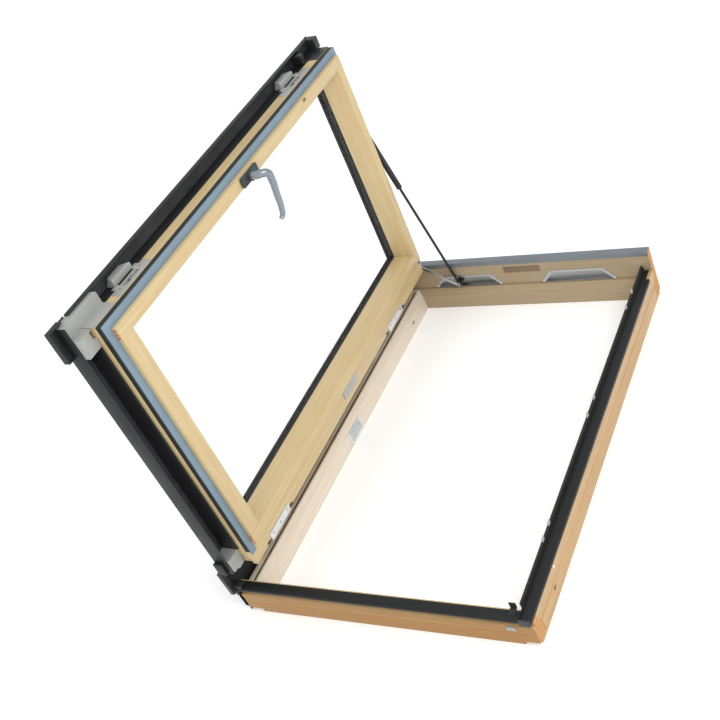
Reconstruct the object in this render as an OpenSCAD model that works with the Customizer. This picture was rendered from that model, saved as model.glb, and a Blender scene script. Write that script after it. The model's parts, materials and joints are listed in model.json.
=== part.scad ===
// Side-hung roof window, shown open: pine frame and sash, insulating glass,
// aluminium covers, two cranked hinges, a gas strut and a stay arm at the head.
// Sizes are in millimetres. u runs across the frame from the hinge side,
// v from the sill to the head, and w up from the frame's underside.
// The origin is the centre of the frame's opening, on the underside plane.

/* [Frame] */
// overall width of the frame
frame_w = 780; // [700:10:1140]
// overall length of the frame, sill to head
frame_l = 1180; // [1080:10:1600]
// width of the members at the foot
foot_w = 38; // [36:1:42]
// height of the foot's upright inner face
foot_h = 48; // [40:1:54]
// thickness of the wall above the shoulder
wall_t = 26; // [24:1:26]
// height of the shoulder, and of the hinge stile
shoulder_h = 66; // [60:1:66]
// height of the sill and of the lock stile
side_h = 90; // [84:1:92]
// thickness of the head's wall
head_wall_t = 20; // [16:1:20]
// height of the head
head_h = 153; // [150:1:170]

/* [Hinge] */
// distance of the hinge axis outside the frame's side
axis_out = 3.5; // [3:0.5:5]
// height of the hinge axis
axis_h = 154; // [150:1:160]
// how far the sash stands open
open_angle = 88; // [0:1:88]
// distance of the lower hinge's centre from the sill's outer face
hinge_low_v = 157; // [140:1:220]
// distance of the upper hinge's centre from the head's outer face
hinge_high_v = 267; // [200:1:320]

/* [Sash] */
// gap between the frame's shoulder and the sash's flange
seat_gap = 3; // [2:0.5:5]
// thickness of the sash's inner layer
inner_t = 14; // [12:1:14]
// thickness of the sash's outer layer
outer_t = 44; // [40:1:48]
// margin of the inner layer from the frame's outer faces
inner_m = 52; // [50:1:56]
// margin of the outer layer at the sill and the lock side
outer_m = 33; // [32:1:36]
// margin of the outer layer at the head, which leaves room for the strut
head_m = 42; // [42:1:46]
// margin of the flange on the hinge side
flange_m = 4; // [4:0.5:8]
// height of the inner rebate above the outer layer, where the glass sits
rebate_t = 17; // [14:1:20]
// thickness of the insulating glass
glass_t = 24; // [20:1:28]
// margin of the glass from the frame's outer faces
glass_m = 40; // [40:1:44]

/* [Strut] */
// radius of the strut's cylinder
cyl_r = 8.5; // [7:0.5:8.5]
// length of the strut's cylinder
cyl_l = 278; // [250:1:300]
// radius of the strut's rod
rod_r = 4; // [3:0.5:5]
// distance of the slider from the frame's hinge side
slider_u = 176; // [170:1:200]

/* [Hidden] */
$fn = 48;
e = 1;
sheet = 1.5;
flange_z = shoulder_h + seat_gap;
face_z = flange_z - inner_t;
wood_z = flange_z + outer_t;
rebate_z = wood_z + rebate_t;
glass_z = rebate_z + glass_t;
cover_z = wood_z + 32;
reveal_z = rebate_z - 8;
seal_w = 8;
free_in = inner_m + 31;
hinge_in = inner_m + 30;
bottom_in = inner_m + 39;
top_in = inner_m + 27;
head_v = frame_l - head_wall_t;
sash_head_v = frame_l - head_m;
hinge_vs = [hinge_low_v, frame_l - hinge_high_v];
leaf_half = 49;
leaf_end = 17;
knuckle_r = 5;
pin_r = 3;
pin_gap = 0.05;
side_gap = 1.2;
pocket_us = [203, frame_w - 222];
pocket_low = 106;
pocket_high = 75;
pocket_w = [68, 102];
pocket_deep = 13;
strut_v = head_v - 10;
slider_w = 87;
handle_v = 603;
handle_u = frame_w - inner_m - 17;
lug_vs = [198, 244, frame_l / 2 - 12, frame_l / 2 + 50, frame_l - 201, frame_l - 136];
lug_d = wall_t + 2.2;
lug_top = side_h + 26;
housing_vs = [[130, 250], [frame_l - 283, frame_l - 145]];
housing_z = [flange_z + 17, wood_z - 2];
bolt_vs = [for (h = housing_vs) (h[0] + h[1]) / 2];
arm_end = [6, flange_z + 7];
strut_end = [frame_w - 205, wood_z - 10];

// a point of the closed sash, as it lies when the sash is open
function opened(p) = let (x = p[0] + axis_out, y = p[1] - axis_h)
    [x * cos(open_angle) - y * sin(open_angle) - axis_out,
     x * sin(open_angle) + y * cos(open_angle) + axis_h];
slider_at = [slider_u, slider_w];
arm_way = opened(arm_end) - slider_at;
strut_way = opened(strut_end) - slider_at;
arm_l = norm(arm_way);
strut_l = norm(strut_way);
arm_turn = atan2(arm_way[1], arm_way[0]);
strut_turn = atan2(strut_way[1], strut_way[0]);

// shared helpers

module frame_place() translate([-frame_w / 2, -frame_l / 2, 0]) children();

module sash_place() frame_place() translate([-axis_out, 0, axis_h]) rotate([0, -open_angle, 0])
    translate([axis_out, 0, -axis_h]) children();

module box(u, v, w) translate([u[0], v[0], w[0]]) cube([u[1] - u[0], v[1] - v[0], w[1] - w[0]]);

// a (u, w) outline drawn along v
module along_v(v) translate([0, v[1], 0]) rotate([90, 0, 0]) linear_extrude(v[1] - v[0]) children();

// a (v, w) outline drawn along u
module along_u(u) translate([u[0], 0, 0]) rotate([90, 0, 90]) linear_extrude(u[1] - u[0]) children();

// a rod along v at a (u, w) point
module rod_v(at, v, r) translate([at[0], v[1], at[1]]) rotate([90, 0, 0]) cylinder(h = v[1] - v[0], r = r);

function from_lock(pts) = [for (p = pts) [frame_w - p[0], p[1]]];
function from_head(pts) = [for (p = pts) [frame_l - p[0], p[1]]];

foot_pts = [[0, 0], [foot_w, 0], [foot_w, foot_h], [wall_t, shoulder_h]];
notch_h = 10;
groove = [44, 48];
groove_d = 2;

// frame timber

module corner_notches() for (u = [[-e, foot_w], [frame_w - foot_w, frame_w + e]])
    box(u, [-e, frame_l + e], [-e, notch_h]);

module sill_bar() difference() {
    along_u([0, frame_w]) polygon(concat(foot_pts, [[wall_t, side_h], [6, side_h], [6, foot_h + 16],
        [0, foot_h + 16], [0, groove[1]], [groove_d, groove[1]], [groove_d, groove[0]], [0, groove[0]]]));
    corner_notches();
}

module head_bar() difference() {
    along_u([0, frame_w]) polygon(from_head(concat(foot_pts,
        [[head_wall_t, shoulder_h], [head_wall_t, head_h], [0, head_h]])));
    corner_notches();
    for (u = pocket_us) pocket_prism(u, 0, [head_v - e, head_v + pocket_deep + 0.2]);
}

module sill() color("burlywood") frame_place() sill_bar();
module head() color("burlywood") frame_place() head_bar();

module hinge_stile() color("burlywood") frame_place() difference() {
    along_v([10, frame_l - 10]) polygon(concat(foot_pts, [[0, shoulder_h]]));
    sill_bar();
    head_bar();
    keeper_block(0.1);
    hinge_seal_bar(0.1);
}

module lock_stile() color("burlywood") frame_place() difference() {
    along_v([10, frame_l - 10]) polygon(from_lock(concat(foot_pts, [[wall_t, side_h], [0, side_h],
        [0, groove[1]], [groove_d, groove[1]], [groove_d, groove[0]], [0, groove[0]]])));
    sill_bar();
    head_bar();
}

// frame claddings

ridge_d = 24;
ridge_h = 12;
lock_clad_v = [-6, frame_l - 62];
screen_out = 11;
screen_h = 150;

module sill_cladding() color("#35383a") frame_place() along_u([0, frame_w - ridge_d - 1.2]) polygon([
    [-5, side_h - 6], [-5 + sheet, side_h - 6], [-5 + sheet, side_h - 2], [0.5, side_h],
    [22, side_h], [22, side_h + sheet], [0, side_h + sheet], [-5, side_h - 1.2]]);

module lock_side_cladding() color("#2b2d2f") frame_place() {
    along_v(lock_clad_v) polygon(from_lock([
        [-sheet, side_h - 8], [0, side_h - 8], [0, side_h], [ridge_d, side_h], [ridge_d, side_h + ridge_h],
        [ridge_d - sheet, side_h + ridge_h], [ridge_d - sheet, side_h + sheet], [-sheet, side_h + sheet]]));
    along_v([lock_clad_v[1] - e, head_v - 2]) polygon(from_lock([
        [9, side_h], [ridge_d, side_h], [ridge_d, side_h + ridge_h],
        [ridge_d - sheet, side_h + ridge_h], [ridge_d - sheet, side_h + sheet], [9, side_h + sheet]]));
}

module head_cladding() color("#7c8088") frame_place() along_u([0, frame_w]) polygon(from_head([
    [-sheet, head_h - 40], [0, head_h - 40], [0, head_h], [head_wall_t, head_h],
    [head_wall_t, head_h - 13], [head_wall_t + sheet, head_h - 13],
    [head_wall_t + sheet, head_h + sheet], [-sheet, head_h + sheet]]));

module hinge_side_cladding() color("#2b2d2f") frame_place() along_v([0, frame_l]) polygon([
    [0, 2], [0, 18], [-screen_out + sheet, 18], [-screen_out + sheet, screen_h],
    [-screen_out, screen_h], [-screen_out, 18 - sheet], [-sheet, 18 - sheet], [-sheet, 2]]);

cap_lug_u = [frame_w - 55, frame_w - 39];
cap_lug_v = wall_t + 1;

module sill_corner_cap() color("#26282a") frame_place() {
    box([frame_w - ridge_d - 1, frame_w + 2], [-9, -6], [side_h - 10, side_h + ridge_h + 1]);
    box(cap_lug_u, [cap_lug_v, cap_lug_v + 3], [side_h + sheet, side_h + 18]);
    box(cap_lug_u, [8, cap_lug_v + 3], [side_h + sheet, side_h + 2 * sheet]);
}

module hinge_corner_cap() color("#1c1d1e") frame_place() {
    box([2, 20], [-4, 15], [side_h + sheet, side_h + 10]);
    box([-screen_out, 0], [-16, -4], [side_h - 8, axis_h + 6]);
    box([-9, 0], [-4 - e, 15], [shoulder_h, side_h + 10]);
    box([-e, 3], [-4, 15], [side_h + sheet, side_h + 10]);
}

// frame seals

module lug_boxes(grow) for (v = lug_vs)
    box([frame_w - lug_d - grow, frame_w - wall_t], [v - 6 - grow, v + 6 + grow], [shoulder_h + 4, lug_top]);

module lock_side_seal() color("#232425") frame_place() difference() {
    along_v([wall_t + 2, head_v - 2]) polygon(from_lock([[ridge_d + 0.2, side_h], [wall_t, side_h],
        [wall_t + 2.6, side_h + 3], [wall_t + 2.6, side_h + 20], [wall_t + 1, side_h + 20],
        [ridge_d + 0.2, side_h + 8]]));
    lug_boxes(0.2);
}

module hinge_seal_bar(grow) box([15 - grow, 21 + grow], [wall_t + 4, frame_l - foot_w],
    [shoulder_h - 4 - grow, shoulder_h + 0.3]);

module hinge_side_seal() color("#715a36") frame_place() hinge_seal_bar(0);

// strut pockets in the head

function pocket_outline(u, grow) = [[u - pocket_low - grow, pocket_w[0] - grow],
    [u + pocket_low + grow, pocket_w[0] - grow], [u + pocket_high + grow, pocket_w[1] + grow],
    [u - pocket_high - grow, pocket_w[1] + grow]];

module pocket_prism(u, grow, v) along_v(v) polygon(pocket_outline(u, grow));

module pocket_tray(u) difference() {
    union() {
        pocket_prism(u, 0, [head_v - side_gap, head_v + pocket_deep]);
        along_v([head_v - side_gap, head_v]) polygon([[u - pocket_low - 12, pocket_w[0] - 1],
            [u + pocket_low + 12, pocket_w[0] - 1], [u + pocket_high + 6, pocket_w[1] + 6],
            [u - pocket_high - 6, pocket_w[1] + 6]]);
    }
    pocket_prism(u, -sheet, [head_v - 2 * e, head_v + pocket_deep - sheet]);
}

module strut_pocket() color("#b9bcbd") frame_place() pocket_tray(pocket_us[0]);
module spare_pocket() color("#b9bcbd") frame_place() pocket_tray(pocket_us[1]);

module pocket_screws() color("#8d9092") frame_place() for (u = pocket_us, side = [-1, 1])
    rod_v([u + side * (pocket_low + 3), pocket_w[0] + 4], [head_v - side_gap - 1, head_v - side_gap], 3);

module blank_plate() color("#8c7969") frame_place()
    box([frame_w / 2 - 57, frame_w / 2 + 59], [head_v - 1, head_v], [106 + 3, 130]);

// locking hardware on the frame

module strikers() color("#b8bab8") frame_place() {
    lug_boxes(0);
    for (v = lug_vs)
        box([frame_w - lug_d - 2.5, frame_w - lug_d], [v - 4, v + 4], [shoulder_h + 4, side_h - 8]);
}

keeper_v = [552, 628];

module keeper_block(grow) box([foot_w - 8 - grow, foot_w + 2.5],
    [keeper_v[0] - grow, keeper_v[1] + grow], [8 - grow, 46 + grow]);

module keeper() color("#b4b6b4") frame_place() difference() {
    keeper_block(0);
    for (row = [0 : 2])
        box([foot_w - 5, foot_w + 3], [keeper_v[0] + 7, keeper_v[1] - 7], [12 + row * 11, 20 + row * 11]);
}

// hinges: frame leaves, pins and sash leaves

leaf_foot = [22, shoulder_h - 3];

module frame_hinge_leaf(v) difference() {
    union() {
        box([-3, 0], [v - leaf_half - leaf_end, v + leaf_half + leaf_end], leaf_foot);
        for (v0 = [v - leaf_half - leaf_end, v + leaf_half + 0.5]) {
            box([-3, 0], [v0, v0 + leaf_end - 0.5], [leaf_foot[1] - e, axis_h]);
            rod_v([-axis_out, axis_h], [v0, v0 + leaf_end - 0.5], knuckle_r);
        }
    }
    rod_v([-axis_out, axis_h], [v - 2 * leaf_half, v + 2 * leaf_half], pin_r + pin_gap);
}

module frame_hinge_leaves() color("#c3c6c8") frame_place() for (v = hinge_vs) frame_hinge_leaf(v);

module hinge_pins() color("#8d9092") frame_place() for (v = hinge_vs)
    rod_v([-axis_out, axis_h], [v - leaf_half - leaf_end, v + leaf_half + leaf_end], pin_r);

module frame_screws() color("#c9ccce") frame_place() {
    for (v = hinge_vs, dv = [-45, -15, 15, 45])
        translate([-4.2, v + dv, 42]) rotate([0, 90, 0]) cylinder(h = 1.2, r = 4);
    translate([frame_w, 154, side_h - 16]) rotate([0, 90, 0]) cylinder(h = 1.4, r = 4);
}

module sill_clip() color("#d9d4c6") frame_place()
    box([frame_w - 66, frame_w - 44], [-3, 0], [foot_h + 2, foot_h + 14]);

module sash_hinge_leaf(v) difference() {
    union() {
        box([-8, 13], [v - leaf_half, v + leaf_half], [flange_z - 2.4, flange_z]);
        box([-8, -5.5], [v - leaf_half, v + leaf_half], [flange_z - 2.4, axis_h]);
        rod_v([-axis_out, axis_h], [v - leaf_half, v + leaf_half], knuckle_r);
    }
    rod_v([-axis_out, axis_h], [v - 2 * leaf_half, v + 2 * leaf_half], pin_r + pin_gap);
}

module sash_hinge_leaves() color("#e3e5e6") sash_place() for (v = hinge_vs) sash_hinge_leaf(v);

// sash timber

module side_gasket_bars() {
    box([frame_w - outer_m - 3, frame_w - outer_m], [outer_m, sash_head_v], [flange_z, flange_z + 14]);
    box([flange_m + 36, frame_w - outer_m], [outer_m, outer_m + 3], [flange_z, flange_z + 14]);
    box([flange_m + 36, frame_w - outer_m], [sash_head_v - 3, sash_head_v], [flange_z, flange_z + 14]);
}

module inner_layer_ends() for (v = [[0, inner_m], [frame_l - inner_m, frame_l]])
    box([0, frame_w], v, [face_z - e, flange_z]);

module lock_pockets() for (v = housing_vs)
    box([frame_w - outer_m - 10, frame_w], [v[0] - 0.2, v[1] + 0.2],
        [housing_z[0] - 0.2, housing_z[1] + 0.2]);

lip_out = axis_out + 1.5;
lip_z = flange_z + inner_t;

module free_stile_bar() difference() {
    along_v([outer_m, sash_head_v]) polygon(from_lock([[inner_m, face_z], [free_in, face_z],
        [free_in, reveal_z], [free_in - seal_w, reveal_z], [free_in - seal_w, rebate_z],
        [outer_m + sheet, rebate_z], [outer_m + sheet, wood_z], [outer_m, wood_z],
        [outer_m, flange_z], [inner_m, flange_z]]));
    inner_layer_ends();
}

module hinge_stile_bar() difference() {
    along_v([outer_m, sash_head_v]) polygon([[inner_m, face_z], [hinge_in, face_z],
        [hinge_in, reveal_z], [hinge_in - seal_w, reveal_z], [hinge_in - seal_w, rebate_z],
        [glass_m - 2, rebate_z], [glass_m - 2, glass_z], [flange_m, glass_z], [flange_m, lip_z],
        [-lip_out, lip_z], [-lip_out, flange_z], [inner_m, flange_z]]);
    inner_layer_ends();
    for (v = hinge_vs, side = [-1, 1]) box([-lip_out - e, side_gap],
        [v + side * (leaf_half + leaf_end / 2) - leaf_end / 2 - side_gap,
            v + side * (leaf_half + leaf_end / 2) + leaf_end / 2 + side_gap],
        [flange_z - e, lip_z + e]);
}

function rail_outline(inner, outer) = [[inner_m, face_z], [inner, face_z], [inner, reveal_z],
    [inner - seal_w, reveal_z], [inner - seal_w, rebate_z], [outer + sheet, rebate_z],
    [outer + sheet, wood_z], [outer, wood_z], [outer, flange_z], [inner_m, flange_z]];

module free_stile() color("#cfba8e") sash_place() difference() {
    free_stile_bar();
    side_gasket_bars();
    lock_pockets();
}

module hinge_side_stile() color("#cfba8e") sash_place() difference() {
    hinge_stile_bar();
    side_gasket_bars();
}

module sash_rail() color("#d9c79c") sash_place() difference() {
    along_u([inner_m, frame_w - inner_m]) children();
    free_stile_bar();
    hinge_stile_bar();
    side_gasket_bars();
}

module bottom_rail() sash_rail() polygon(rail_outline(bottom_in, outer_m));
module top_rail() sash_rail() polygon(from_head(rail_outline(top_in, head_m)));

// glass

module ring(u, v, w, t) difference() {
    box(u, v, w);
    box([u[0] + t[0], u[1] - t[1]], [v[0] + t[2], v[1] - t[3]], [w[0] - e, w[1] + e]);
}

glass_u = [glass_m, frame_w - glass_m];
glass_v = [glass_m, frame_l - head_m - 6];
pane_t = 4;
spacer_w = 16;

module inner_pane() color([0.8, 0.9, 0.92, 0.35]) sash_place()
    box(glass_u, glass_v, [rebate_z, rebate_z + pane_t]);

module spacer() color("#2c2d2e") sash_place()
    ring(glass_u, glass_v, [rebate_z + pane_t, glass_z - pane_t], [spacer_w, spacer_w, spacer_w, spacer_w]);

module outer_pane() color([0.8, 0.9, 0.92, 0.35]) sash_place()
    box(glass_u, glass_v, [glass_z - pane_t, glass_z]);

module glazing_seal() color("#1b1c1d") sash_place()
    ring([hinge_in - seal_w, frame_w - free_in + seal_w], [bottom_in - seal_w, frame_l - top_in + seal_w],
        [reveal_z, rebate_z], [seal_w, seal_w, seal_w, seal_w]);

// sash gaskets

gasket_z = [flange_z - 3.5, flange_z];

module weather_gasket() color("#9fb0bd") sash_place() {
    box([frame_w - inner_m, frame_w - outer_m], [outer_m, sash_head_v], gasket_z);
    box([wall_t + 5, frame_w - inner_m], [outer_m, inner_m], gasket_z);
    box([wall_t + 5, frame_w - inner_m], [frame_l - inner_m, sash_head_v], gasket_z);
}

module side_gasket() color("#2a2b2a") sash_place() side_gasket_bars();

// sash covers: an upright leg beside the glass, a plate on the glass and a flange outward

bead_w = 30;
leg_v = [outer_m + sheet, sash_head_v - sheet];
drip = 10;
drip_h = 37;

module free_cover() color("#4c4f50") sash_place() {
    box([frame_w - outer_m - sheet, frame_w - outer_m], leg_v, [wood_z, glass_z + sheet]);
    box([frame_w - glass_m - bead_w, frame_w - outer_m - sheet], leg_v, [glass_z, glass_z + sheet]);
    box([frame_w - outer_m, frame_w], leg_v, [cover_z, cover_z + sheet]);
    box([frame_w - sheet, frame_w], leg_v, [cover_z - 11, cover_z]);
}

module hinge_side_cover() color("#4c4f50") sash_place() {
    box([flange_m - sheet - 0.2, glass_m + bead_w], leg_v, [glass_z, glass_z + sheet]);
    box([flange_m - sheet - 0.2, flange_m - 0.2], leg_v, [glass_z - 11, glass_z]);
}

module bottom_cover() color("#4c4f50") sash_place() {
    box([flange_m + 2, frame_w - outer_m], [outer_m - sheet, outer_m], [wood_z, glass_z + sheet]);
    box([flange_m + 2, frame_w - outer_m], [outer_m - sheet, outer_m + sheet], [glass_z, glass_z + sheet]);
    box([glass_m + bead_w, frame_w - glass_m - bead_w], [outer_m + sheet, glass_m + bead_w],
        [glass_z, glass_z + sheet]);
    box([flange_m + 2, frame_w], [-drip, outer_m - sheet], [cover_z, cover_z + sheet]);
    box([flange_m + 2, frame_w], [-drip, sheet - drip], [cover_z - drip_h, cover_z]);
}

module top_cover() color("#4c4f50") sash_place() {
    box([glass_m + 2, frame_w - outer_m], [sash_head_v - sheet, sash_head_v], [rebate_z, glass_z + sheet]);
    box([glass_m + bead_w, frame_w - glass_m - bead_w], [frame_l - head_m - bead_w, sash_head_v - sheet],
        [glass_z, glass_z + sheet]);
    box([flange_m + 2, frame_w], [sash_head_v, head_v - 6], [cover_z, cover_z + sheet]);
    box([glass_m + 2, frame_w], [sash_head_v - e, head_v - 6], [cover_z, cover_z + sheet]);
}

// sash corner pieces

module corner_block() color("#d8dbd6") sash_place() {
    box([frame_w - outer_m, frame_w - 4], [2 - drip, 110], [wood_z + 6, cover_z]);
    box([frame_w - outer_m, frame_w - outer_m + 1.2], [outer_m - 1.2, 110], [flange_z + 15, wood_z + 7]);
    difference() {
        box([frame_w - outer_m - 47, frame_w - outer_m], [2 - drip, outer_m - sheet], [side_h + 5, cover_z]);
        box([cap_lug_u[0] - 2, cap_lug_u[1] + 2], [cap_lug_v - 3, outer_m + e], [side_h, side_h + 21]);
    }
}

module recess_profile() color("#141516") sash_place()
    box([52, frame_w - outer_m - 47], [outer_m - 4, outer_m - sheet], [side_h + 5, cover_z]);

module end_block() color("#d8dbd6") sash_place() {
    box([14, 52], [2 - drip, outer_m - sheet], [side_h + 11.5, cover_z]);
    box([6, 15], [8, outer_m - sheet], [side_h + 13, cover_z]);
}

module cover_corner_cap() color("#3c3f40") sash_place() {
    box([frame_w - 76, frame_w + 2], [-drip - 18, -drip], [cover_z - 13, cover_z + 2 * sheet]);
    box([frame_w, frame_w + 2], [-drip, 12], [cover_z - 13, cover_z + 2 * sheet]);
    box([8, 46], [-drip - 8, -drip], [cover_z - 22, cover_z + 2 * sheet]);
}

module top_corner_bracket() color("#1f2021") sash_place() {
    box([frame_w - outer_m, frame_w - 6], [frame_l - 128, frame_l - 112], [wood_z + 2, cover_z]);
    box([frame_w - outer_m, frame_w - 2], [sash_head_v - 6, head_v - 7], [side_h + 23, cover_z]);
    box([frame_w - outer_m, frame_w - outer_m + 1.2], [frame_l - 105, sash_head_v], [flange_z + 15, cover_z]);
    box([frame_w - outer_m - 13, frame_w - outer_m + 1.2], [sash_head_v, sash_head_v + 4],
        [flange_z + 15, wood_z]);
    box([frame_w - 30, frame_w - 2], [frame_l - 96, sash_head_v - 6], [cover_z - 5, cover_z]);
}

// locking hardware on the sash

bolt_w = 12;
slot_z = [housing_z[0] + 7, housing_z[1] - 7];

module lock_housings() color("#d8dbd6") sash_place() for (i = [0, 1]) difference() {
    union() {
        box([frame_w - outer_m - 9, frame_w - outer_m + 1.2], housing_vs[i], housing_z);
        box([frame_w - outer_m, frame_w - outer_m + 1.2], [housing_vs[i][0] + 14, housing_vs[i][1] - 14],
            [housing_z[1] - e, wood_z + 14]);
    }
    box([frame_w - outer_m - 6, frame_w], [bolt_vs[i] - 26, bolt_vs[i] + 26], slot_z);
}

module lock_bolts() color("#b9bcbd") sash_place() for (v = bolt_vs)
    box([frame_w - outer_m - 5.7, frame_w - outer_m + 1.5], [v - bolt_w / 2, v + bolt_w / 2],
        [slot_z[0] + 0.3, slot_z[1] - 0.3]);

module catch_plate() color("#c3c4c0") sash_place() box([13, 40], [567, 651], [flange_z - 2.4, flange_z]);

module handle_rosette() color("#9a9da0") sash_place() difference() {
    translate([handle_u, handle_v, 0]) {
        box([-13, 13], [-37, 37], [face_z - 8, face_z]);
        translate([0, 0, face_z - 14]) cylinder(h = 7, r = 12);
    }
    translate([handle_u, handle_v, face_z - 20]) cylinder(h = 12, r = 6.1);
}

handle_h = 48;
lever_l = 112;

module handle_lever() color("#9a9da0") sash_place() translate([handle_u, handle_v, 0]) {
    translate([0, 0, face_z - handle_h]) cylinder(h = handle_h - 14.3, r = 9);
    translate([0, 0, face_z - 16]) cylinder(h = 7.7, r = 6);
    translate([0, 0, face_z - handle_h]) sphere(r = 9);
    translate([-lever_l, -8, face_z - handle_h - 6]) cube([lever_l, 16, 12]);
    translate([-lever_l, 0, face_z - handle_h - 6]) cylinder(h = 12, r = 8);
    translate([-lever_l - 6, -22, face_z - handle_h - 6]) cube([13, 24, 12]);
}

// gas strut, stay arm and slider at the head

module strut_bracket() color("#2a2b2c") sash_place() {
    translate([strut_end[0] - 14, sash_head_v, strut_end[1] - 9]) cube([28, 2.4, 18]);
    rod_v(strut_end, [sash_head_v, sash_head_v + 2.9], 6);
}

module arm_bracket() color("#b9bcbd") sash_place()
    translate([arm_end[0] - 1, sash_head_v, arm_end[1] - 6]) cube([30, 2.4, 12]);

arm_v = [sash_head_v + 3.4, sash_head_v + 5.4];

module pocket_slider() color("#9a9da0") frame_place() {
    translate([slider_u - 9, head_v - 0.9, slider_w - 5]) cube([18, pocket_deep - sheet + 0.6, 10]);
    rod_v(slider_at, [arm_v[0] - 0.2, head_v], 3);
}

// a flat link or a round strut part, drawn from the slider along its own way
module from_slider(turn) frame_place() translate([slider_u, 0, slider_w]) rotate([0, -turn, 0]) children();

module stay_arm() color("#8d9092") from_slider(arm_turn) difference() {
    union() {
        box([0, arm_l], [arm_v[0], arm_v[1]], [-5, 5]);
        rod_v([0, 0], arm_v, 7);
        rod_v([arm_l, 0], arm_v, 7);
    }
    rod_v([0, 0], [arm_v[0] - e, arm_v[1] + e], 3 + pin_gap);
}

cyl_start = strut_l - cyl_l - 12;

module strut_rod() color("#1f2021") from_slider(strut_turn) difference() {
    union() {
        rod_v([0, 0], [arm_v[1] + 0.4, head_v - 1.8], 7);
        translate([5, strut_v, 0]) rotate([0, 90, 0]) cylinder(h = cyl_start + 15, r = rod_r);
    }
    rod_v([0, 0], [arm_v[0], head_v + e], 3 + pin_gap);
}

module strut_cylinder() color("#1f2021") from_slider(strut_turn) difference() {
    union() {
        translate([cyl_start, strut_v, 0]) rotate([0, 90, 0]) cylinder(h = cyl_l, r = cyl_r);
        translate([strut_l - 14, strut_v, 0]) rotate([0, 90, 0]) cylinder(h = 14, r = 5);
        rod_v([strut_l, 0], [strut_v - 6, strut_v + 6], 7);
    }
    translate([cyl_start - e, strut_v, 0]) rotate([0, 90, 0]) cylinder(h = cyl_l - 30, r = rod_r + pin_gap);
}

sill();
head();
hinge_stile();
lock_stile();
sill_cladding();
lock_side_cladding();
head_cladding();
hinge_side_cladding();
sill_corner_cap();
hinge_corner_cap();
lock_side_seal();
hinge_side_seal();
strut_pocket();
spare_pocket();
pocket_screws();
blank_plate();
strikers();
keeper();
frame_hinge_leaves();
hinge_pins();
frame_screws();
sill_clip();
free_stile();
hinge_side_stile();
bottom_rail();
top_rail();
inner_pane();
spacer();
outer_pane();
glazing_seal();
weather_gasket();
side_gasket();
free_cover();
hinge_side_cover();
bottom_cover();
top_cover();
corner_block();
end_block();
recess_profile();
cover_corner_cap();
top_corner_bracket();
lock_housings();
sash_hinge_leaves();
catch_plate();
handle_rosette();
strut_bracket();
arm_bracket();
handle_lever();
lock_bolts();
pocket_slider();
stay_arm();
strut_rod();
strut_cylinder();
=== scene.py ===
"""Side-hung roof window: finish pieces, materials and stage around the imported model."""

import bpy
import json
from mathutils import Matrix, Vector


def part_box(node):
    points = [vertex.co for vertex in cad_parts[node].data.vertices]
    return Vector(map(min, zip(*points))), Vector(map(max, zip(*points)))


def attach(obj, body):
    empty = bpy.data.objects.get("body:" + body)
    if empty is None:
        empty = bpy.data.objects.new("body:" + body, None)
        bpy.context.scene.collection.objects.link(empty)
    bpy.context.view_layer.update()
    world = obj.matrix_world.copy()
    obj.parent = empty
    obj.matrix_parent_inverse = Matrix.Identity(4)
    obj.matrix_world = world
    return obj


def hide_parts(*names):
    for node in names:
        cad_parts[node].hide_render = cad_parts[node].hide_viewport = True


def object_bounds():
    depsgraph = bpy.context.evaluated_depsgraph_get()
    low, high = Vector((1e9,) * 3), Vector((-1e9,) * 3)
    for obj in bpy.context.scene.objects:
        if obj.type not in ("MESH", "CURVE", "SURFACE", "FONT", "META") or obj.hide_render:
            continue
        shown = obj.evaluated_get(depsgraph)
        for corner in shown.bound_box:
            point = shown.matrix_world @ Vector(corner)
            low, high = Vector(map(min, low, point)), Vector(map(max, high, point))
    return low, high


bl_info = {
    "name": "Roof window finish",
    "version": (1, 0, 0),
    "blender": (4, 5, 0),
    "location": "3D View > Sidebar > Roof window",
    "description": "Builds the finished pieces of a side-hung roof window and its studio stage",
    "category": "Object",
}

import json
import math

import bpy
from mathutils import Matrix, Vector

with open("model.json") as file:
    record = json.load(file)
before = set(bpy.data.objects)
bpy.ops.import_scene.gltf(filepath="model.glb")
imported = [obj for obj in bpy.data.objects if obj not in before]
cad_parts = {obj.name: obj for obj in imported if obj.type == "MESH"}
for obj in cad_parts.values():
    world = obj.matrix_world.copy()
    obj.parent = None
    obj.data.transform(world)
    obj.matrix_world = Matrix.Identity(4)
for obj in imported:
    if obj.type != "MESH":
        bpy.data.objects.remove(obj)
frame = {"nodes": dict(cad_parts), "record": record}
CAD_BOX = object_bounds()
NODES = frame["nodes"]
BODY_OF = {node: body for body, nodes in frame["record"]["behaviour"]["bodies"].items() for node in nodes}
JOINT = {joint["name"]: joint for joint in frame["record"]["behaviour"]["joints"]}
MM = 0.001

# the sash stands turned about its hinge; pieces on it are made as if shut, then turned open
HINGE = Vector(JOINT["sash_hinge"]["pos_m"])
OPEN_ANGLE = math.radians(JOINT["sash_hinge"]["range_deg"][1])
OPENED = Matrix.Translation(HINGE) @ Matrix.Rotation(-OPEN_ANGLE, 4, "Y") @ Matrix.Translation(-HINGE)

SILL_LOW, SILL_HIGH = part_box("sill")
HEAD_LOW, HEAD_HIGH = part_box("head")
WIDTH = SILL_HIGH[0] - SILL_LOW[0]
LENGTH = HEAD_HIGH[1] - SILL_LOW[1]

# the sash leaves' middles along the frame and the height of their lower face when shut, in millimetres
LEAF_CENTRES = (157, 913)
LEAF_FACE = 66.6


# ---------------------------------------------------------------- sizes and colours


def colour(name, description, default):
    """A colour of a finish, as an sRGB hex value."""
    return bpy.props.StringProperty(name=name, description=description, default=default)


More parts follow.
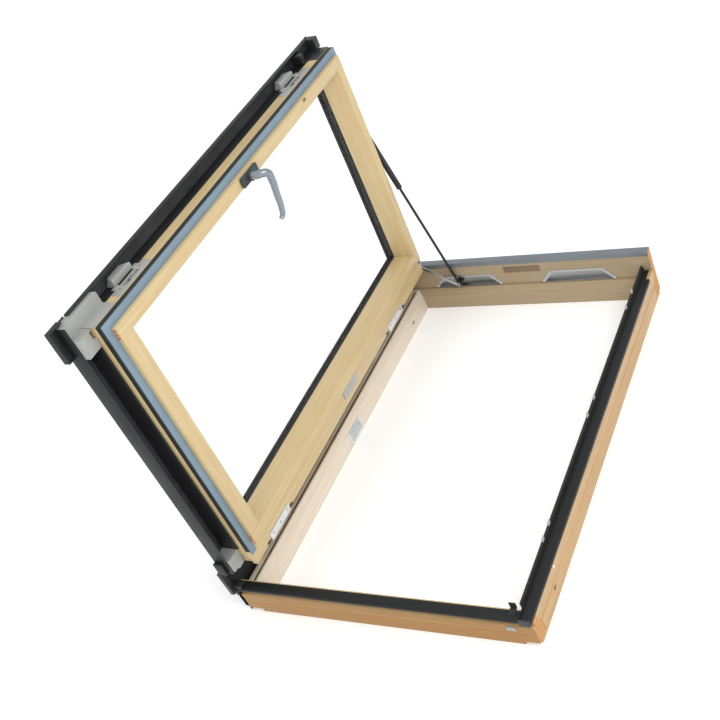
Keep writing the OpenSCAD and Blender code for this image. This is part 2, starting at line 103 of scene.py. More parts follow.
class WindowColours(bpy.types.PropertyGroup):
    """Colours of the finishes, as sRGB hex values"""

    pine: colour("Pine", "Planed pine of the sash", "#d0bc90")
    # the frame's hinge stile is the sash pine lightened with painted light
    pine_painted_light: colour("Pale pine", "Hinge stile of the frame", "#e8ddcf")
    # the head's pine is the sash pine darkened and grayed with painted shade
    pine_painted_shade: colour("Gray pine", "Head member", "#a9987c")
    pine_late: colour("Pine latewood", "The darker growth lines", "#c4a572")
    pine_end: colour("Pine end grain", "Cut ends and tenons", "#c79a63")
    # the sill's outer face is raw pine, darkened further with painted shade
    pine_raw_painted_shade: colour("Pine outside", "Outer face of the sill", "#a57b40")
    anthracite: colour("Anthracite", "Powder coat", "#16191a")
    # the covers' inward faces take a lighter metallic gray, a painted reflection
    cover_inside: colour("Cover inside", "Mill finish inside", "#46494b")
    # the head cladding is painted a lighter gray than the other claddings, a painted reflection
    gray: colour("Head gray", "Head cladding", "#757d83")
    rubber: colour("Black rubber", "Seals", "#1b1c1c")
    blue_rubber: colour("Gray-blue rubber", "Weather gasket", "#788c9b")
    plastic: colour("Light plastic", "Blocks and housings", "#9fa19d")
    handle: colour("Handle", "Satin lacquer", "#8c949c")
    floor: colour("Floor", "Studio floor", "#fbfbfb")


class WindowSizes(bpy.types.PropertyGroup):
    """Sizes of the finishing work"""

    timber_edge: bpy.props.FloatProperty(
        name="Timber edge", description="Rounding of planed edges", default=1.4 * MM, unit="LENGTH"
    )
    sheet_edge: bpy.props.FloatProperty(
        name="Sheet edge", description="Rounding of folded sheet", default=0.35 * MM, unit="LENGTH"
    )
    moulded_edge: bpy.props.FloatProperty(
        name="Moulded edge", description="Rounding of moulded parts", default=1.0 * MM, unit="LENGTH"
    )
    lens: bpy.props.FloatProperty(name="Lens", description="Camera focal length in mm", default=53.77)


def linear(code, alpha=1.0):
    """An sRGB hex colour as linear RGBA."""
    parts = [int(code[i : i + 2], 16) / 255 for i in (1, 3, 5)]
    return (*[c / 12.92 if c <= 0.04045 else ((c + 0.055) / 1.055) ** 2.4 for c in parts], alpha)


def colours():
    return bpy.context.scene.window_colours


def sizes():
    return bpy.context.scene.window_sizes


# ---------------------------------------------------------------- materials


def add(tree, kind, settings=None, **links):
    """Adds a node, sets its properties and input values, and links its inputs from other nodes' outputs."""
    node = tree.nodes.new(kind)
    for name, value in (settings or {}).items():
        if name in node.inputs:
            node.inputs[name].default_value = value
        else:
            setattr(node, name, value)
    for name, output in links.items():
        socket = node.inputs[int(name[1:])] if name[0] == "_" else node.inputs[name.replace("_", " ")]
        tree.links.new(output, socket)
    return node


def shader(name, settings):
    """A named material with one Principled shader; returns it, its tree and the shader."""
    material = bpy.data.materials.new(name)
    material.use_nodes = True
    tree = material.node_tree
    tree.nodes.clear()
    out = tree.nodes.new("ShaderNodeOutputMaterial")
    principled = add(tree, "ShaderNodeBsdfPrincipled", settings)
    tree.links.new(principled.outputs[0], out.inputs[0])
    return material, tree, principled


def ramp(tree, source, stops):
    """A colour ramp over a factor, from (position, colour) stops."""
    node = add(tree, "ShaderNodeValToRGB", None, Fac=source)
    while len(node.color_ramp.elements) < len(stops):
        node.color_ramp.elements.new(0.5)
    for element, (position, colour) in zip(node.color_ramp.elements, stops):
        element.position = position
        element.color = colour
    return node


def bump(tree, height, strength, depth):
    return add(tree, "ShaderNodeBump", {"Strength": strength, "Distance": depth}, Height=height)


def pine(name, along, early, late, gloss):
    """Planed pine under a satin lacquer: growth lines along the member, a tone drift and rare pin knots."""
    material, tree, principled = shader(name, {"Roughness": gloss, "IOR": 1.5, "Coat Weight": 0.12})
    place = add(tree, "ShaderNodeTexCoord")
    squeeze = [1.0, 1.0, 1.0]
    squeeze[along] = 0.045
    grain_map = add(tree, "ShaderNodeMapping", {"Scale": squeeze}, Vector=place.outputs["Object"])
    drift = add(tree, "ShaderNodeTexNoise", {"Scale": 9.0, "Detail": 3.0}, Vector=grain_map.outputs[0])
    warp = add(
        tree,
        "ShaderNodeVectorMath",
        {"operation": "MULTIPLY_ADD"},
        _0=drift.outputs["Color"],
        _2=grain_map.outputs[0],
    )
    warp.inputs[1].default_value = (0.012, 0.012, 0.012)
    # growth lines 4 to 6 mm apart, drawn by stretched noise at that pitch
    ring_noise = {"Scale": 130.0, "Detail": 5.0, "Roughness": 0.6}
    rings = add(tree, "ShaderNodeTexNoise", ring_noise, Vector=warp.outputs[0])
    fibres = add(tree, "ShaderNodeTexNoise", {"Scale": 900.0, "Detail": 2.0}, Vector=grain_map.outputs[0])
    growth = [(0.36, linear(early)), (0.60, linear(late)), (0.70, linear(early))]
    tone = ramp(tree, rings.outputs["Fac"], growth)
    wide = ramp(tree, drift.outputs["Fac"], [(0.3, (0.93, 0.91, 0.87, 1)), (0.7, (1, 1, 1, 1))])
    mixed = add(
        tree,
        "ShaderNodeMix",
        {"data_type": "RGBA", "blend_type": "MULTIPLY"},
        _6=tone.outputs[0],
        _7=wide.outputs[0],
    )
    mixed.inputs[0].default_value = 0.8
    soft = add(tree, "ShaderNodeMix", {"data_type": "RGBA"}, _7=mixed.outputs[2])
    soft.inputs[6].default_value = linear(early)
    soft.inputs[0].default_value = 0.6
    # pin knots about 6 mm wide, far apart
    knot_squeeze = [1.0, 1.0, 1.0]
    knot_squeeze[along] = 0.55
    knot_map = add(tree, "ShaderNodeMapping", {"Scale": knot_squeeze}, Vector=place.outputs["Object"])
    cells = add(tree, "ShaderNodeTexVoronoi", {"Scale": 9.0}, Vector=knot_map.outputs[0])
    knot = ramp(tree, cells.outputs["Distance"], [(0.02, linear("#5d3a1c")), (0.05, (1, 1, 1, 1))])
    final = add(
        tree,
        "ShaderNodeMix",
        {"data_type": "RGBA", "blend_type": "MULTIPLY"},
        _6=soft.outputs[2],
        _7=knot.outputs[0],
    )
    final.inputs[0].default_value = 1.0
    tree.links.new(final.outputs[2], principled.inputs["Base Color"])
    relief = bump(tree, fibres.outputs["Fac"], 0.12, 0.0004)
    tree.links.new(relief.outputs[0], principled.inputs["Normal"])
    return material


def end_grain(name, colour):
    """Cut pine ends: close rings across the section, darker and duller than the faces."""
    material, tree, principled = shader(name, {"Roughness": 0.7})
    place = add(tree, "ShaderNodeTexCoord")
    rings = add(
        tree,
        "ShaderNodeTexWave",
        {
            "wave_type": "RINGS",
            "rings_direction": "SPHERICAL",
            "Scale": 40.0,
            "Distortion": 2.5,
            "Detail": 2.0,
        },
        Vector=place.outputs["Object"],
    )
    tone = ramp(tree, rings.outputs["Fac"], [(0.2, linear(colour)), (0.9, linear("#b87c42"))])
    tree.links.new(tone.outputs[0], principled.inputs["Base Color"])
    relief = bump(tree, rings.outputs["Fac"], 0.2, 0.0003)
    tree.links.new(relief.outputs[0], principled.inputs["Normal"])
    return material


def speckled(name, colour, settings, grit_mm, strength, drift=0.06):
    """A plain-coloured surface with a fine relief of the given grit and a faint drift of tone."""
    material, tree, principled = shader(name, settings)
    place = add(tree, "ShaderNodeTexCoord")
    grit_noise = {"Scale": 1.0 / (grit_mm * MM), "Detail": 2.0}
    grit = add(tree, "ShaderNodeTexNoise", grit_noise, Vector=place.outputs["Object"])
    broad = add(tree, "ShaderNodeTexNoise", {"Scale": 14.0, "Detail": 3.0}, Vector=place.outputs["Object"])
    base = linear(colour)
    low = tuple(c * (1 - drift) for c in base[:3]) + (1,)
    high = tuple(min(1, c * (1 + drift)) for c in base[:3]) + (1,)
    tone = ramp(tree, broad.outputs["Fac"], [(0.35, low), (0.65, high)])
    tree.links.new(tone.outputs[0], principled.inputs["Base Color"])
    wear = add(
        tree,
        "ShaderNodeMapRange",
        {"From Min": 0.3, "From Max": 0.7},
        Value=broad.outputs["Fac"],
    )
    wear.inputs["To Min"].default_value = settings.get("Roughness", 0.5) * 0.9
    wear.inputs["To Max"].default_value = min(1.0, settings.get("Roughness", 0.5) * 1.12)
    tree.links.new(wear.outputs[0], principled.inputs["Roughness"])
    relief = bump(tree, grit.outputs["Fac"], strength, 0.0002)
    tree.links.new(relief.outputs[0], principled.inputs["Normal"])
    return material


def brushed(name, colour, along, roughness):
    """Drawn or brushed steel: fine lines along one way over bright metal."""
    material, tree, principled = shader(name, {"Metallic": 1.0, "Roughness": roughness})
    place = add(tree, "ShaderNodeTexCoord")
    squeeze = [1.0, 1.0, 1.0]
    squeeze[along] = 0.03
    lines_map = add(tree, "ShaderNodeMapping", {"Scale": squeeze}, Vector=place.outputs["Object"])
    lines = add(tree, "ShaderNodeTexNoise", {"Scale": 1500.0, "Detail": 2.0}, Vector=lines_map.outputs[0])
    base = linear(colour)
    tone = ramp(tree, lines.outputs["Fac"], [(0.3, tuple(c * 0.88 for c in base[:3]) + (1,)), (0.7, base)])
    tree.links.new(tone.outputs[0], principled.inputs["Base Color"])
    relief = bump(tree, lines.outputs["Fac"], 0.15, 0.0001)
    tree.links.new(relief.outputs[0], principled.inputs["Normal"])
    return material


def clear_glass(name):
    """Float glass: nearly clear, a faint green-gray body and a bright reflection."""
    material, tree, principled = shader(name, {"Roughness": 0.02, "IOR": 1.5, "Alpha": 0.02})
    place = add(tree, "ShaderNodeTexCoord")
    wave = add(tree, "ShaderNodeTexNoise", {"Scale": 1.5, "Detail": 1.0}, Vector=place.outputs["Object"])
    tone = ramp(tree, wave.outputs["Fac"], [(0.3, linear("#e4eeec")), (0.7, linear("#eef4f3"))])
    tree.links.new(tone.outputs[0], principled.inputs["Base Color"])
    return material


def make_materials():
    c = colours()
    return {
        # lacquered pine, one for each way that a member runs
        "pine_x": pine("planed_pine_across", 0, c.pine, c.pine_late, 0.42),
        "pine_y": pine("planed_pine_along", 1, c.pine, c.pine_late, 0.42),
        "pine_z": pine("planed_pine_upright", 2, c.pine, c.pine_late, 0.42),
        # the frame's hinge stile: pine lightened with painted light
        "pine_painted_light": pine("pine_along_painted_light", 1, c.pine_painted_light, "#dccbb2", 0.45),
        # the head: pine darkened and grayed with painted shade
        "pine_head": pine("pine_across_painted_shade", 0, c.pine_painted_shade, "#9f8966", 0.5),
        # the sill's outer faces: raw pine darkened further with painted shade
        "pine_out_x": pine("sawn_pine_across_painted_shade", 0, c.pine_raw_painted_shade, "#a3733d", 0.6),
        "pine_out_y": pine("sawn_pine_along", 1, "#c6a67c", "#b08a5a", 0.6),
        "tenon": end_grain("pine_tenon_ends", "#dba06a"),
        "pine_end": end_grain("pine_end_grain", c.pine_end),
        # polyester powder coat on aluminium: an even satin with a fine orange peel
        "anthracite": speckled(
            "powder_coated_aluminium", c.anthracite, {"Roughness": 0.5, "Specular IOR Level": 0.35}, 0.8, 0.06
        ),
        # covers' inward faces: lighter metallic gray as a painted reflection
        "cover_inside": speckled(
            "aluminium_painted_reflection", c.cover_inside, {"Roughness": 0.42, "Metallic": 0.55}, 1.2, 0.05, 0.12
        ),
        # head cladding: lighter gray coat as a painted reflection
        "gray": speckled("powder_coat_painted_reflection", c.gray, {"Roughness": 0.36, "Metallic": 0.25}, 0.8, 0.05),
        # extruded EPDM: dull black with a soft skin
        "rubber": speckled("extruded_black_rubber", c.rubber, {"Roughness": 0.62}, 0.6, 0.08),
        "blue_rubber": speckled("extruded_gray_blue_rubber", c.blue_rubber, {"Roughness": 0.5}, 0.7, 0.06),
        # the hinge-side seal is painted brown as painted shade, the shaded wood in the hinge-side gap
        "brown_rubber": speckled("extruded_seal_painted_shade", "#6b5330", {"Roughness": 0.6}, 0.7, 0.06),
        "glass": clear_glass("float_glass"),
        # zinc plate: bright, cloudy steel
        "zinc": speckled(
            "zinc_plated_steel", "#dee2e5", {"Roughness": 0.34, "Metallic": 0.45}, 1.0, 0.05, 0.12
        ),
        "steel": brushed("brushed_stainless_steel", "#b5b8ba", 0, 0.3),
        "chrome": speckled("ground_piston_steel", "#3a3b3d", {"Roughness": 0.22, "Metallic": 0.8}, 0.5, 0.02),
        "black_lacquer": speckled("black_lacquered_steel", "#161718", {"Roughness": 0.28}, 0.7, 0.04),
        # injection-moulded ABS and nylon: fine spark-eroded grain
        "plastic": speckled("moulded_light_gray_nylon", c.plastic, {"Roughness": 0.45}, 0.5, 0.06),
        "gray_plastic": speckled("moulded_gray_nylon", "#a9aba8", {"Roughness": 0.45}, 0.5, 0.06),
        "black_plastic": speckled("moulded_black_nylon", "#1f2122", {"Roughness": 0.42}, 0.5, 0.06),
        "handle": speckled(
            "satin_lacquered_zinc_alloy", c.handle, {"Roughness": 0.3, "Metallic": 0.65}, 0.6, 0.03
        ),
        "dark_handle": speckled(
            "dark_lacquered_zinc_alloy", "#33393d", {"Roughness": 0.4, "Metallic": 0.1}, 0.6, 0.03
        ),
        "brown_plate": brushed("anodised_bronze_plate", "#8c7969", 0, 0.4),
    }


MATERIALS = {}

# which finish each CAD node, or the piece that stands for it, takes
FINISH = {
    "sill": "pine_out_x", "head": "pine_head", "hinge_stile": "pine_painted_light", "lock_stile": "pine_out_y",
    "sill_cladding": "anthracite", "lock_side_cladding": "anthracite", "head_cladding": "gray",
    "hinge_side_cladding": "anthracite", "sill_corner_cap": "black_plastic",
    # the hinge-side seal's brown is painted shade of the wood in the gap
    "hinge_corner_cap": "black_plastic", "lock_side_seal": "rubber", "hinge_side_seal": "brown_rubber",
    "strut_pocket": "steel", "spare_pocket": "steel", "pocket_screws": "zinc",
    "blank_plate": "brown_plate", "strikers": "gray_plastic", "keeper": "zinc",
    "frame_hinge_leaves": "zinc", "hinge_pins": "steel", "frame_screws": "zinc", "sill_clip": "plastic",
    "free_stile": "pine_y", "hinge_side_stile": "pine_y", "bottom_rail": "pine_z", "top_rail": "pine_z",
    "inner_pane": "glass", "outer_pane": "glass", "spacer": "black_plastic", "glazing_seal": "rubber",
    "weather_gasket": "blue_rubber", "side_gasket": "rubber", "free_cover": "anthracite",
    "hinge_side_cover": "anthracite", "bottom_cover": "anthracite", "top_cover": "anthracite",
    "corner_block": "plastic", "end_block": "plastic", "recess_profile": "black_plastic",
    "cover_corner_cap": "anthracite", "top_corner_bracket": "black_plastic", "lock_housings": "plastic",
    "sash_hinge_leaves": "zinc", "catch_plate": "gray_plastic", "handle_rosette": "dark_handle",
    "strut_bracket": "black_lacquer", "arm_bracket": "zinc", "handle_lever": "handle",
    "lock_bolts": "steel", "pocket_slider": "black_plastic", "stay_arm": "steel", "strut_rod": "chrome",
    "strut_cylinder": "black_lacquer",
}


# ---------------------------------------------------------------- making pieces


def deselect():
    bpy.ops.object.select_all(action="DESELECT")


def only(obj):
    """Selects one object and makes it active."""
    deselect()
    obj.select_set(True)
    bpy.context.view_layer.objects.active = obj


def edit(obj):
    only(obj)
    bpy.ops.object.mode_set(mode="EDIT")


def leave_edit():
    bpy.ops.object.mode_set(mode="OBJECT")


def modify(obj, kind, **settings):
    """Adds a modifier and applies it."""
    only(obj)
    modifier = obj.modifiers.new(kind.title(), kind)
    for name, value in settings.items():
        setattr(modifier, name, value)
    bpy.ops.object.modifier_apply(modifier=modifier.name)


def soften(obj, width, segments=2, angle=32):
    """Rounds the edges that a hand would feel, then shades the faces smooth up to the edges."""
    modify(
        obj, "BEVEL", width=width, segments=segments, limit_method="ANGLE",
        angle_limit=math.radians(angle), use_clamp_overlap=True, harden_normals=False,
    )
    only(obj)
    bpy.ops.object.shade_smooth_by_angle(angle=math.radians(40))


def paint(obj, *finishes):
    obj.data.materials.clear()
    for finish in finishes:
        obj.data.materials.append(MATERIALS[finish])


def stands_for(obj, *nodes):
    """The piece rides on its nodes' body and hides them."""
    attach(obj, BODY_OF[nodes[0]])
    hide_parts(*nodes)


def dressed(node, name, width, segments=2, finish=None, flat=True):
    """A node's shape, merged, its flat faces joined unless told not to, its edges softened by a width."""
    source = NODES[node]
    obj = bpy.data.objects.new(name, source.data.copy())
    bpy.context.collection.objects.link(obj)
    edit(obj)
    bpy.ops.mesh.select_all(action="SELECT")
    bpy.ops.mesh.remove_doubles(threshold=0.00002)
    if flat:
        bpy.ops.mesh.dissolve_limited(angle_limit=math.radians(1))
    leave_edit()
    if width:
        soften(obj, width, segments)
    paint(obj, finish or FINISH[node])
    stands_for(obj, node)
    return obj


def faces_towards(obj, way, limit=0.9):
    """Indexes of the faces that look along a direction."""
    way = Vector(way).normalized()
    return [face.index for face in obj.data.polygons if face.normal.dot(way) > limit]


def two_tone(obj, finish, chosen):
    """Gives the chosen faces a second finish."""
    obj.data.materials.append(MATERIALS[finish])
    slot = len(obj.data.materials) - 1
    for index in chosen:
        obj.data.polygons[index].material_index = slot


def block(name, low, high):
    """A box from its lowest to its highest corner, as a start for a piece."""
    deselect()
    bpy.ops.mesh.primitive_cube_add(size=1.0, location=[(a + b) / 2 for a, b in zip(low, high)])
    obj = bpy.context.object
    obj.name = name
    obj.scale = [b - a for a, b in zip(low, high)]
    settle(obj)
    return obj


def round_bar(name, centre, radius, depth, axis, sides=32):
    """A cylinder about a centre along X, Y or Z, as a start for a piece."""
    turn = {"X": (0, math.pi / 2, 0), "Y": (math.pi / 2, 0, 0), "Z": (0, 0, 0)}[axis]
    deselect()
    bpy.ops.mesh.primitive_cylinder_add(
        vertices=sides, radius=radius, depth=depth, location=centre, rotation=turn
    )
    obj = bpy.context.object
    obj.name = name
    settle(obj)
    return obj


def settle(obj):
    """Puts the piece's place, turn and scale into its mesh."""
    only(obj)
    bpy.ops.object.transform_apply(location=True, rotation=True, scale=True)


def opened(obj):
    """Turns a piece made on the shut sash to where the sash stands."""
    obj.matrix_world = OPENED @ obj.matrix_world
    settle(obj)
    return obj


def joined(name, parts):
    """Joins several closed shells into one piece."""
    deselect()
    for part in parts:
        part.select_set(True)
    bpy.context.view_layer.objects.active = parts[0]
    if len(parts) > 1:
        bpy.ops.object.join()
    obj = bpy.context.object
    obj.name = name
    return obj


def cut(obj, tool):
    """Takes the tool's shape out of a piece and removes the tool."""
    modify(obj, "BOOLEAN", object=tool, operation="DIFFERENCE", solver="EXACT")
    bpy.data.objects.remove(tool, do_unlink=True)


def shut_point(u, v, z):
    """A point of the shut sash in metres, from millimetres across, along and up."""
    return Vector((u * MM - WIDTH / 2, v * MM - LENGTH / 2, z * MM))


# ---------------------------------------------------------------- frame


class WINDOW_OT_frame_timber(bpy.types.Operator):
    """Planes the four frame members, with end grain where they are cut"""

    bl_idname = "window.frame_timber"
    bl_label = "Frame timber"

    def execute(self, context):
        edge = sizes().timber_edge
        sill = dressed("sill", "sill_planed", edge)
        two_tone(sill, "pine_end", faces_towards(sill, (1, 0, 0)) + faces_towards(sill, (-1, 0, 0)))
        # the sill's inner and upper faces take the sash pine; its outer and lower faces keep the raw pine
        # darkened with painted shade
        two_tone(sill, "pine_x", faces_towards(sill, (0, 1, 0.2), 0.6) + faces_towards(sill, (0, 0, 1)))
        head = dressed("head", "head_planed", 0, flat=False)
        two_tone(head, "pine_end", faces_towards(head, (1, 0, 0)) + faces_towards(head, (-1, 0, 0)))
        dressed("hinge_stile", "hinge_stile_planed", edge)
        lock = dressed("lock_stile", "lock_stile_planed", edge)
        two_tone(lock, "pine_y", faces_towards(lock, (-1, 0, 0.2), 0.6))
        return {"FINISHED"}


class WINDOW_OT_frame_claddings(bpy.types.Operator):
    """Folds the frame's aluminium claddings and seats the corner caps and seals"""

    bl_idname = "window.frame_claddings"
    bl_label = "Frame claddings"

    def execute(self, context):
        for node in ("sill_cladding", "lock_side_cladding", "head_cladding", "hinge_side_cladding"):
            dressed(node, node + "_folded", sizes().sheet_edge)
        for node in ("sill_corner_cap", "hinge_corner_cap"):
            dressed(node, node + "_moulded", sizes().moulded_edge, 3)
        for node in ("lock_side_seal", "hinge_side_seal"):
            dressed(node, node + "_extruded", sizes().sheet_edge)
        return {"FINISHED"}


class WINDOW_OT_frame_hardware(bpy.types.Operator):
    """Makes the pockets, plate, strikers, keeper, hinge leaves and screws"""

    bl_idname = "window.frame_hardware"
    bl_label = "Frame hardware"

    def execute(self, context):
        dressed("keeper", "keeper_pressed", 2.2 * MM, 4)
        for node in ("strut_pocket", "spare_pocket", "blank_plate", "strikers", "sill_clip"):
            dressed(node, node + "_pressed", sizes().sheet_edge)
        for node in ("frame_hinge_leaves", "sash_hinge_leaves"):
            dressed(node, node + "_plated", sizes().sheet_edge)
        for node in ("hinge_pins", "frame_screws", "pocket_screws"):
            dressed(node, node + "_turned", sizes().sheet_edge)
        # recessed screw heads, three across each sash leaf
        heads = []
        for centre in LEAF_CENTRES:
            for off in (-36, 0, 36):
                spot = shut_point(6 if off else 3, centre + off, LEAF_FACE - 0.2)
                head = round_bar("head", spot, 3.4 * MM, 0.4 * MM, "Z", 24)
                soften(head, 0.12 * MM, 2)
                slot_low = spot - Vector((2.2, 0.5, 1)) * MM
                slot_high = spot + Vector((2.2, 0.5, 0.05)) * MM
                cut(head, block("slot", slot_low, slot_high))
                heads.append(head)
        screws = opened(joined("leaf_screws_turned", heads))
        paint(screws, "steel")
        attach(screws, "sash")
        return {"FINISHED"}


# ---------------------------------------------------------------- sash


class WINDOW_OT_sash_timber(bpy.types.Operator):
    """Planes the four sash members and shows their tenons"""

    bl_idname = "window.sash_timber"
    bl_label = "Sash timber"

    def execute(self, context):
        for node in ("free_stile", "hinge_side_stile", "bottom_rail", "top_rail"):
            dressed(node, node + "_planed", sizes().timber_edge)
        # the stiles' tenons pass through the rails, and their ends show on the sill side
        ends = []
        for across in (54, WIDTH / MM - 82):
            end = block("tenon", shut_point(across, 51.85, 58), shut_point(across + 28, 53.5, 66))
            soften(end, 0.1 * MM, 1)
            ends.append(end)
        tenons = opened(joined("tenon_ends", ends))
        paint(tenons, "tenon")
        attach(tenons, "sash")
        return {"FINISHED"}


class WINDOW_OT_sash_glazing(bpy.types.Operator):
    """Seats the panes, spacer, seals and gaskets"""

    bl_idname = "window.sash_glazing"
    bl_label = "Glazing and gaskets"

    def execute(self, context):
        for node in ("inner_pane", "outer_pane"):
            dressed(node, node + "_ground", sizes().sheet_edge)
        for node in ("spacer", "glazing_seal", "weather_gasket", "side_gasket"):
            dressed(node, node + "_extruded", sizes().sheet_edge)
        return {"FINISHED"}


class WINDOW_OT_sash_covers(bpy.types.Operator):
    """Folds the sash's covers and seats its corner pieces"""

    bl_idname = "window.sash_covers"
    bl_label = "Sash covers"

    def execute(self, context):
        inward = OPENED.to_3x3() @ Vector((0, 0, -1))
        for node in ("free_cover", "hinge_side_cover", "bottom_cover", "top_cover"):
            piece = dressed(node, node + "_folded", sizes().sheet_edge)
            # the inward faces get the lighter gray of the painted reflection
            two_tone(piece, "cover_inside", faces_towards(piece, inward))
        for node in ("corner_block", "end_block", "recess_profile", "cover_corner_cap", "top_corner_bracket"):
            dressed(node, node + "_moulded", sizes().moulded_edge, 3)
        return {"FINISHED"}


def housing(low, high, side):
    """A lock housing on the shut sash: a slotted plate in the timber, two ears and a hood under the cover."""
    middle = (low[1] + high[1]) / 2
    plate = block("plate", low, (side, high[1], high[2]))
    soften(plate, 1.0 * MM, 3)
    for s in (-1, 1):
        hole = (side, middle + s * 38 * MM, high[2] - 8 * MM)
        cut(plate, round_bar("hole", hole, 2.6 * MM, 6 * MM, "X", 20))
    slot_low = (side - 6 * MM, middle - 26 * MM, low[2] + 7 * MM)
    cut(plate, block("slot", slot_low, (side + 1 * MM, middle + 26 * MM, high[2] - 7 * MM)))
    hood = block(
        "hood",
        (side - 1 * MM, middle - 34 * MM, high[2] + 6.2 * MM),
        (side + 15 * MM, middle + 34 * MM, high[2] + 31 * MM),
    )
    edit(hood)
    bpy.ops.mesh.select_all(action="DESELECT")
    leave_edit()
    for vertex in hood.data.vertices:
        vertex.select = vertex.co.x > side + 10 * MM and vertex.co.z > high[2] + 20 * MM
    edit(hood)
    bpy.ops.transform.resize(value=(1, 0.6, 1), center_override=(side, middle, high[2]))
    leave_edit()
    soften(hood, 2.4 * MM, 3)
    ears = [
        block(
            "ear",
            (side - 1 * MM, centre - 9 * MM, high[2] - 4 * MM),
            (side + 1.4 * MM, centre + 9 * MM, high[2] + 10 * MM),
        )
        for centre in (middle - 36 * MM, middle + 36 * MM)
    ]
    for ear in ears:
        soften(ear, 1.2 * MM, 3)
    return joined("housing", [plate, hood, *ears])


class WINDOW_OT_sash_hardware(bpy.types.Operator):
    """Makes the lock housings, bolts, catch plate and brackets"""

    bl_idname = "window.sash_hardware"
    bl_label = "Sash hardware"

    def housings(self):
        """Both lock housings, as one piece."""
        side = WIDTH / 2 - 31.8 * MM
        bodies = []
        for low, high in ((130, 250), (LENGTH / MM - 283, LENGTH / MM - 145)):
            start = shut_point(738, low, 86)
            end = shut_point(748.2, high, 111)
            bodies.append(housing(start, end, side))
        piece = opened(joined("lock_housings_moulded", bodies))
        paint(piece, "plastic")
        stands_for(piece, "lock_housings")

    def execute(self, context):
        dressed("catch_plate", "catch_plate_moulded", 6 * MM, 5)
        self.housings()
        for node in ("lock_bolts", "strut_bracket", "arm_bracket"):
            dressed(node, node + "_plated", sizes().sheet_edge)
        return {"FINISHED"}


# the lever's way on the shut sash: millimetres from its turning axis across, along and up, and its half width
LEVER_WAY = (
    (0, -3, 46, 10.0), (0, -1, 30, 10.0), (-1, 7, 16, 9.8), (-7, 14, 9, 9.6), (-18, 15, 8, 9.2),
    (-60, 9, 8, 8.2), (-100, 2, 9, 7.4), (-112, -3, 10, 6.6), (-117, -12, 12, 5.2),
)


class WINDOW_OT_handle(bpy.types.Operator):
    """Casts the handle's base and its bent lever"""

    bl_idname = "window.handle"
    bl_label = "Handle"

    def execute(self, context):
        pivot = Vector(JOINT["handle_turn"]["pos_m"])
        pivot = OPENED.inverted() @ pivot
        face = pivot.z + 25 * MM
        base = block(
            "handle_base_cast",
            (pivot.x - 13 * MM, pivot.y - 37 * MM, face - 9 * MM),
            (pivot.x + 13 * MM, pivot.y + 37 * MM, face),
        )
        soften(base, 4 * MM, 4)
        boss = round_bar("boss", (pivot.x, pivot.y - 2 * MM, face - 11 * MM), 12.5 * MM, 9 * MM, "Z", 40)
        soften(boss, 1.6 * MM, 3)
        collar = round_bar("collar", (pivot.x, pivot.y - 2 * MM, face - 17 * MM), 9.6 * MM, 4 * MM, "Z", 40)
        soften(collar, 0.8 * MM, 2)
        rosette = opened(joined("handle_rosette_cast", [base, boss, collar]))
        paint(rosette, "dark_handle")
        stands_for(rosette, "handle_rosette")
        deselect()
        bpy.ops.curve.primitive_bezier_curve_add(location=(0, 0, 0))
        way = context.object
        spline = way.data.splines[0]
        spline.bezier_points.add(len(LEVER_WAY) - len(spline.bezier_points))
        for point, (across, along, up, half) in zip(spline.bezier_points, LEVER_WAY):
            point.co = (pivot.x + across * MM, pivot.y + along * MM, up * MM)
            point.radius = half / LEVER_WAY[0][3]
            point.handle_left_type = point.handle_right_type = "AUTO"
        way.data.dimensions = "3D"
        way.data.bevel_depth = LEVER_WAY[0][3] * MM
        way.data.bevel_resolution = 6
        way.data.resolution_u = 14
        way.data.use_fill_caps = True
        only(way)
        bpy.ops.object.convert(target="MESH")
        lever = context.object
        lever.name = "handle_lever_cast"
        settle(lever)
        soften(lever, 1.2 * MM, 3, 50)
        lever = opened(lever)
        paint(lever, "handle")
        stands_for(lever, "handle_lever")
        return {"FINISHED"}


class WINDOW_OT_strut(bpy.types.Operator):
    """Makes the gas strut, its slider and the stay arm"""

    bl_idname = "window.strut"
    bl_label = "Gas strut and stay arm"

    def execute(self, context):
        for node in ("pocket_slider", "stay_arm", "strut_rod", "strut_cylinder"):
            dressed(node, node + "_turned", sizes().sheet_edge)
        return {"FINISHED"}


# ---------------------------------------------------------------- stage


def lamp(name, place, target, size, power, colour=(1, 1, 1)):
    light = bpy.data.lights.new(name, "AREA")
    light.shape = "DISK"
    light.size = size
    light.energy = power
    light.color = colour
    obj = bpy.data.objects.new(name, light)
    bpy.context.collection.objects.link(obj)
    obj.location = place
    obj.rotation_euler = (Vector(target) - Vector(place)).to_track_quat("-Z", "Y").to_euler()


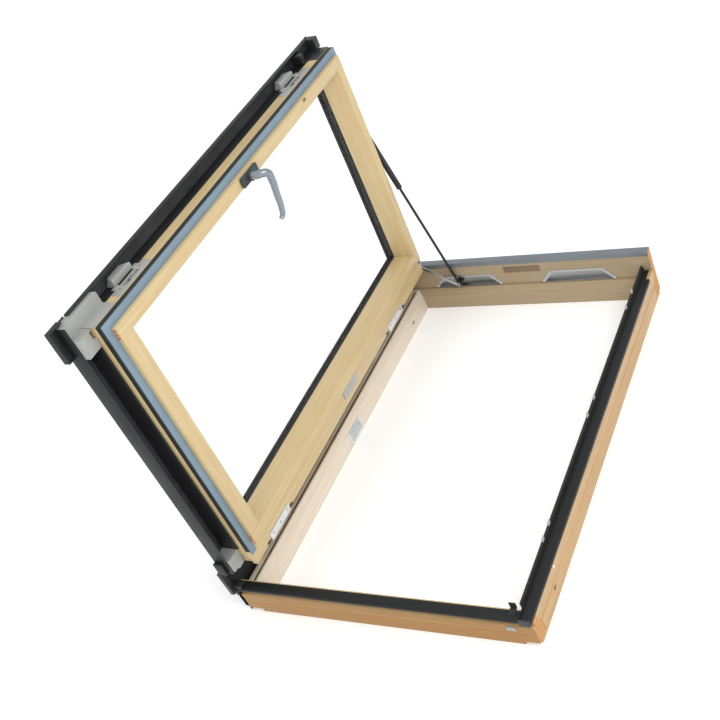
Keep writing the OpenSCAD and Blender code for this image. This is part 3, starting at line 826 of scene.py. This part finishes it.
class WINDOW_OT_stage(bpy.types.Operator):
    """Lays the pale floor, hangs the soft lights and sets up the camera"""

    bl_idname = "window.stage"
    bl_label = "Stage"

    def execute(self, context):
        deselect()
        bpy.ops.mesh.primitive_plane_add(size=60.0, location=(0, 0, CAD_BOX[0][2] - 0.0005))
        floor = context.object
        floor.name = "studio_floor"
        # the floor glows a little, so that it reads white
        matt = {"Roughness": 0.9, "Specular IOR Level": 0.1}
        glow = {"Emission Color": (1, 1, 1, 1), "Emission Strength": 0.18}
        material, tree, principled = shader("matt_studio_floor", {**matt, **glow})
        place = add(tree, "ShaderNodeTexCoord")
        cloud = add(tree, "ShaderNodeTexNoise", {"Scale": 0.6}, Vector=place.outputs["Object"])
        tone = ramp(tree, cloud.outputs["Fac"], [(0.3, linear("#f8f8f8")), (0.7, linear(colours().floor))])
        tree.links.new(tone.outputs[0], principled.inputs["Base Color"])
        floor.data.materials.append(material)
        world = bpy.data.worlds.new("studio_light")
        world.use_nodes = True
        world.node_tree.nodes["Background"].inputs[0].default_value = (1.0, 1.0, 1.0, 1)
        world.node_tree.nodes["Background"].inputs[1].default_value = 0.9
        context.scene.world = world
        context.scene.view_settings.view_transform = "Standard"
        middle = (0.0, 0.0, 0.3)
        lamp("key_softbox", (2.6, -1.2, 3.4), middle, 2.0, 60)
        lamp("fill_softbox", (-2.5, -2.6, 2.2), middle, 2.6, 15)
        camera = bpy.data.objects.new("camera", bpy.data.cameras.new("camera"))
        context.collection.objects.link(camera)
        right, up, back = (0.875, 0.346, -0.338), (0.013, 0.683, 0.730), (0.484, -0.643, 0.593)
        turn = Matrix((right, up, back)).transposed()
        camera.matrix_world = Matrix.Translation((1.312, -1.719, 1.880)) @ turn.to_4x4()
        camera.data.sensor_width = 36.0
        camera.data.lens = sizes().lens
        camera.data.shift_x = -0.1103
        camera.data.shift_y = -0.0024
        context.scene.camera = camera
        return {"FINISHED"}


class WINDOW_PT_pieces(bpy.types.Panel):
    """Lists the pieces of the roof window"""

    bl_label = "Roof window"
    bl_idname = "WINDOW_PT_pieces"
    bl_space_type = "VIEW_3D"
    bl_region_type = "UI"
    bl_category = "Roof window"

    def draw(self, context):
        for step in STEPS:
            self.layout.operator(step.bl_idname)


STEPS = (
    WINDOW_OT_frame_timber,
    WINDOW_OT_frame_claddings,
    WINDOW_OT_frame_hardware,
    WINDOW_OT_sash_timber,
    WINDOW_OT_sash_glazing,
    WINDOW_OT_sash_covers,
    WINDOW_OT_sash_hardware,
    WINDOW_OT_handle,
    WINDOW_OT_strut,
    WINDOW_OT_stage,
)
CLASSES = (WindowColours, WindowSizes, *STEPS, WINDOW_PT_pieces)


def register():
    for cls in CLASSES:
        bpy.utils.register_class(cls)
    bpy.types.Scene.window_colours = bpy.props.PointerProperty(type=WindowColours)
    bpy.types.Scene.window_sizes = bpy.props.PointerProperty(type=WindowSizes)


def unregister():
    del bpy.types.Scene.window_sizes
    del bpy.types.Scene.window_colours
    for cls in reversed(CLASSES):
        bpy.utils.unregister_class(cls)


def main():
    register()
    MATERIALS.update(make_materials())
    for step in STEPS:
        group, name = step.bl_idname.split(".")
        getattr(getattr(bpy.ops, group), name)()


if __name__ == "__main__":
    main()
